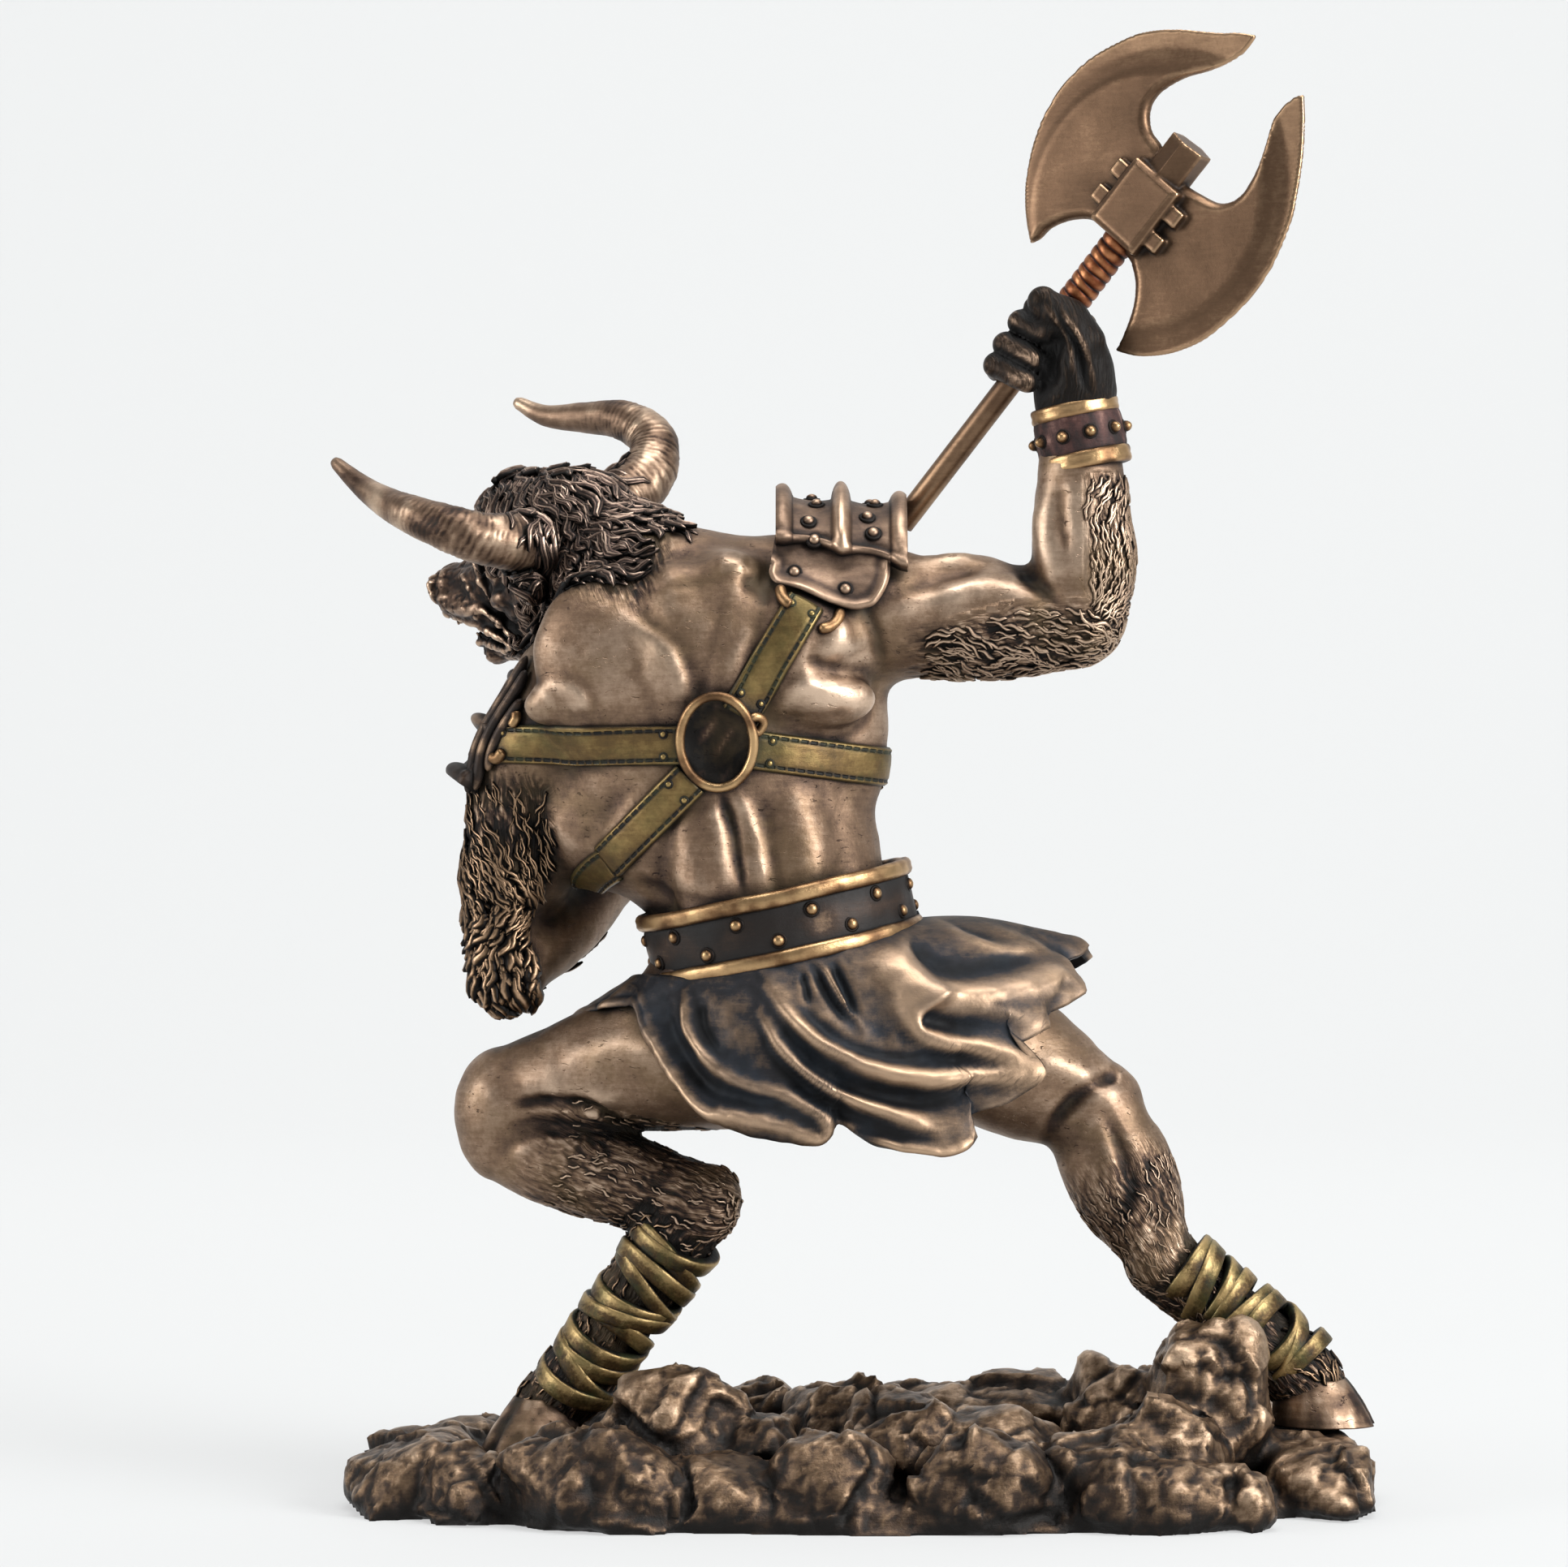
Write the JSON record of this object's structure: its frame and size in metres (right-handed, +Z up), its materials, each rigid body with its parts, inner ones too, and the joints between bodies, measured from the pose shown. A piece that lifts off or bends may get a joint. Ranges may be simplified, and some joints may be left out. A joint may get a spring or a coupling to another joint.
{
  "type": "minotaur statue",
  "caption": "Desktop statue of a bull-headed warrior in harness and kilt, lunging on rocks with a raised double-bladed axe.",
  "frame": {"origin": "centre of the base's flat underside", "axes": "+Z up, +Y away from the picture's viewer (the way the minotaur's chest and face are turned), +X to the viewer's right, towards the trailing leg and the axe"},
  "size_m": [0.2167, 0.11, 0.3007],
  "materials": {
    "patinated_bronze": "antiqued bronze, dark in the hollows and rubbed bright on the ridges",
    "dark_bronze": "dark antiqued bronze over craggy rock",
    "satin_bronze": "smooth satin brown bronze"
  },
  "bodies": {
    "root": {"figure": "patinated_bronze", "rock_base": "dark_bronze", "axe": "satin_bronze"}
  },
  "joints": []
}
